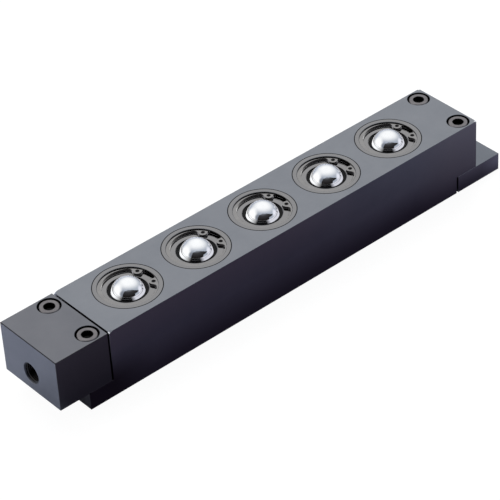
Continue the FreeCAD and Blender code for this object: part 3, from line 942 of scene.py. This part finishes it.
    def floor(self) -> None:
        """A white floor. Its glow is for seen rays alone, and its plain part keeps the shadow."""
        low, half = self.floor_height, self.floor_half
        floor = self.flat("floor", [(-half, -half, low), (half, -half, low), (half, half, low), (-half, half, low)])
        made = bpy.data.materials.new("floor")
        made.use_nodes = True
        bench = Bench(made.node_tree)
        made.node_tree.nodes.remove(made.node_tree.nodes["Principled BSDF"])
        ray = bench.add("ShaderNodeLightPath")
        camera = ray.outputs["Is Camera Ray"]
        mirrored = bench.sum("MAXIMUM", ray.outputs["Is Glossy Ray"], ray.outputs["Is Transmission Ray"])
        white = bench.sum("MULTIPLY_ADD", mirrored, self.floor_white_mirrored, self.floor_white)
        glow = bench.sum("MULTIPLY_ADD", camera, self.floor_glow,
                         bench.sum("MULTIPLY", mirrored, self.floor_glow_mirrored))
        tint = bench.blend(mirrored, (1.0, 1.0, 1.0), self.floor_tint)
        lit = bench.add("ShaderNodeBsdfDiffuse", {"Color": bench.blend(white, (0, 0, 0), tint)})
        shine = bench.add("ShaderNodeEmission", {"Color": tint, "Strength": glow})
        both = bench.add("ShaderNodeAddShader", {0: lit.outputs[0], 1: shine.outputs[0]})
        bench.feed(made.node_tree.nodes["Material Output"].inputs["Surface"], both.outputs[0])
        floor.data.materials.append(made)

    def card_finish(self, name: str, paint: Callable[[Bench], Socket]) -> bpy.types.Material:
        """Material of a card that only mirrored rays meet, so that it is a painted reflection. Camera, shadow and
        fill rays pass through it.

        Args:
            name: the material's name.
            paint: a function that takes the material's bench and returns the card's tone.

        Returns:
            The new material.
        """
        made = bpy.data.materials.new(name)
        made.use_nodes = True
        bench = Bench(made.node_tree)
        made.node_tree.nodes.remove(made.node_tree.nodes["Principled BSDF"])
        ray = bench.add("ShaderNodeLightPath")
        mirrored = bench.sum("MAXIMUM", ray.outputs["Is Glossy Ray"], ray.outputs["Is Transmission Ray"])
        clear = bench.add("ShaderNodeBsdfTransparent")
        tone = bench.add("ShaderNodeEmission", {"Color": paint(bench), "Strength": 1.0})
        mixed = bench.add("ShaderNodeMixShader", {0: mirrored, 1: clear.outputs[0], 2: tone.outputs[0]})
        bench.feed(made.node_tree.nodes["Material Output"].inputs["Surface"], mixed.outputs[0])
        return made

    def lying_tone(self, bench: Bench) -> Socket:
        """Tone of the lying card: painted shade and light for the floor that the rail's near side mirrors.

        It is dark violet grey. It lightens towards the foot's end and away from the rail together, a
        little beside the foot, and to a pale tone at its far end.

        Args:
            bench: the card material's bench.

        Returns:
            The tone's socket.
        """
        split = bench.add("ShaderNodeSeparateXYZ", {0: bench.add("ShaderNodeTexCoord").outputs["Object"]})
        along = bench.ramp(split.outputs["X"], 30 * MM, 220 * MM)
        away = bench.ramp(split.outputs["Y"], -25 * MM, -68 * MM)
        by_foot = bench.sum("MULTIPLY", bench.ramp(split.outputs["X"], 112 * MM, 150 * MM), 0.34)
        share = bench.sum("MAXIMUM", bench.sum("MULTIPLY", along, away), by_foot)
        far_end = bench.ramp(split.outputs["X"], 230 * MM, 320 * MM)
        return bench.blend(far_end, bench.blend(share, self.card_dark, self.card_light), self.card_pale)

    def standing_tone(self, bench: Bench) -> Socket:
        """Tone of the standing card, a painted dark reflection: near black at the foot, lighter towards the top.

        Args:
            bench: the card material's bench.

        Returns:
            The tone's socket.
        """
        split = bench.add("ShaderNodeSeparateXYZ", {0: bench.add("ShaderNodeTexCoord").outputs["Object"]})
        lower = bench.blend(bench.ramp(split.outputs["Z"], 0.15, 1.0), (0.007, 0.005, 0.004),
                            (0.052, 0.052, 0.056))
        return bench.blend(bench.ramp(split.outputs["Z"], 0.9, 1.7), lower, (0.30, 0.32, 0.36))

    def cards(self) -> None:
        """Two dark cards on the camera's side, painted reflections that only mirrored rays meet: one lies before
        the rail and one stands behind the camera.

        The standing card is part of an upright cylinder of one metre radius. Its lower and upper edges are
        given as elevations seen from the rail: a point at angle a and elevation e lies at
        (cos a, sin a, tan e).
        """
        near, far, low = self.card_near, self.card_far, self.card_height
        lying = self.flat("lying_card", [(-0.125, near, low), (-0.45, far, low), (0.60, far, low),
                                         (0.60, near, low)])
        lying.data.materials.append(self.card_finish("lying_card", self.lying_tone))
        steps = np.linspace(0.0, 1.0, self.screen_steps)
        around = np.radians(self.screen_start + self.screen_sweep * steps)
        top = np.interp(steps, (0.0, 0.05, 0.33, 0.66, 0.85, 1.0), (24.0, 46.0, 58.0, 50.0, 35.0, 20.0))
        foot = np.interp(steps, (0.0, 0.62, 0.70, 1.0), (-1.0, -1.0, 20.0, 18.0))
        rise = np.tan(np.radians(np.stack([foot, top])))
        points = np.stack([np.broadcast_to(np.cos(around), rise.shape),
                           np.broadcast_to(np.sin(around), rise.shape), rise], -1).reshape(-1, 3)
        standing = put_mesh("standing_card", points, grid_faces(2, len(steps), False, False))
        standing.data.materials.append(self.card_finish("standing_card", self.standing_tone))

    def build(self) -> None:
        """Set up the whole studio."""
        bpy.context.scene.view_settings.view_transform = "Standard"
        self.camera()
        self.lamps()
        self.world()
        self.floor()
        self.cards()
        log.info("studio ready")


FINISHES = {
    "bar": BAR_STEEL,
    "foot": FOOT_STEEL,
    "block": BLOCK_STEEL,
    "thread": THREAD_STEEL,
    "turned": TURNED_STEEL,
    "piston": PISTON_STEEL,
    "spring": SPRING_STEEL,
    "screw": SCREW_STEEL,
    "plug": PLUG_STEEL,
    "plastic": RETAINER_PLASTIC,
    "ball": BALL_STEEL,
    "rubber": SEAL_RUBBER,
}


def main() -> None:
    """Dress the solids, add the details and set up the studio."""
    logging.basicConfig(level=logging.INFO, format="%(name)s: %(message)s")
    for group in (Groups.edge_wear, Groups.unit_place, Groups.screw_place, Groups.painted_recess_glow,
                  Groups.grain):
        group()
    layout = Layout.measured()
    materials = {name: finish.material(layout) for name, finish in FINISHES.items()}
    RailFrame().dress(materials)
    AirPort().build(layout, materials["thread"])
    ScrewHeads().dress(materials["screw"])
    BallUnits(count=int(layout.last) + 1).dress(materials)
    Studio().build()


if __name__ == "__main__":
    main()
